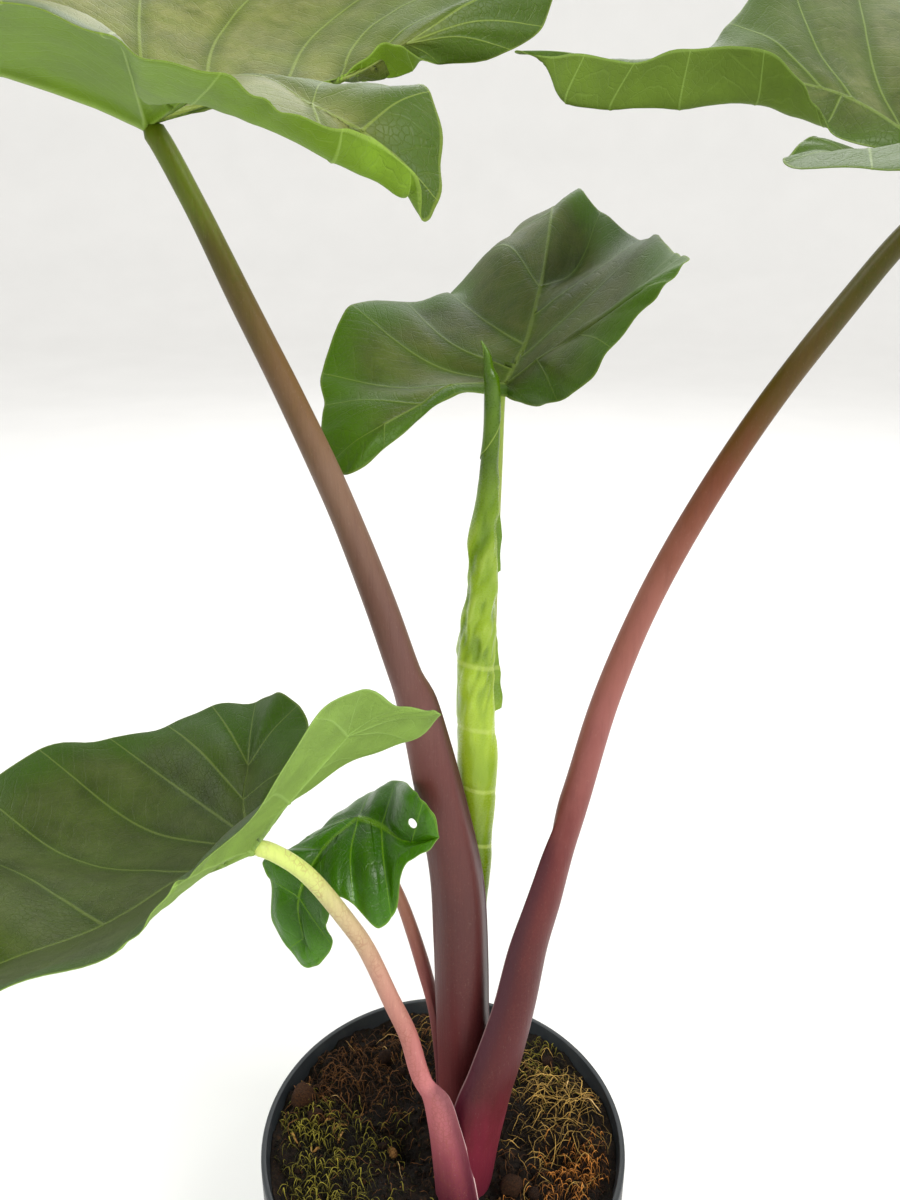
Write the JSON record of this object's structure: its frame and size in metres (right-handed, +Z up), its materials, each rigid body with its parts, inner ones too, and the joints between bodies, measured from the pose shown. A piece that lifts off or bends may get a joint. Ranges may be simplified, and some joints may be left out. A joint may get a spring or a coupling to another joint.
{
  "type": "potted imperial red alocasia",
  "caption": "Potted house plant with large arrow-shaped green leaves on arching red stalks, standing in a round black nursery pot.",
  "frame": {"origin": "middle of the underside of the pot", "axes": "+Z up along the pot's axis, -Y towards the side seen in front, +X to the right of it"},
  "size_m": [0.8187, 0.4026, 0.7144],
  "materials": {
    "pot_plastic": "satin black",
    "potting_soil": null,
    "rhizome_skin": "rough skin with leaf scars",
    "stalk_skin": null,
    "mature_leaf": "satin green with paler veins",
    "young_leaf": "glossy fresh green",
    "rolled_leaf_skin": "glossy lime green"
  },
  "bodies": {
    "root": {"pot": "pot_plastic", "soil": "potting_soil", "rhizome": "rhizome_skin", "stalk_left": "stalk_skin", "stalk_right": "stalk_skin", "stalk_low_left": "stalk_skin", "stalk_back": "stalk_skin", "stalk_small": "stalk_skin", "blade_left": "mature_leaf", "blade_right": "mature_leaf", "blade_low_left": "mature_leaf", "blade_back": "mature_leaf", "blade_small": "young_leaf", "rolled_leaf": "rolled_leaf_skin"}
  },
  "joints": []
}
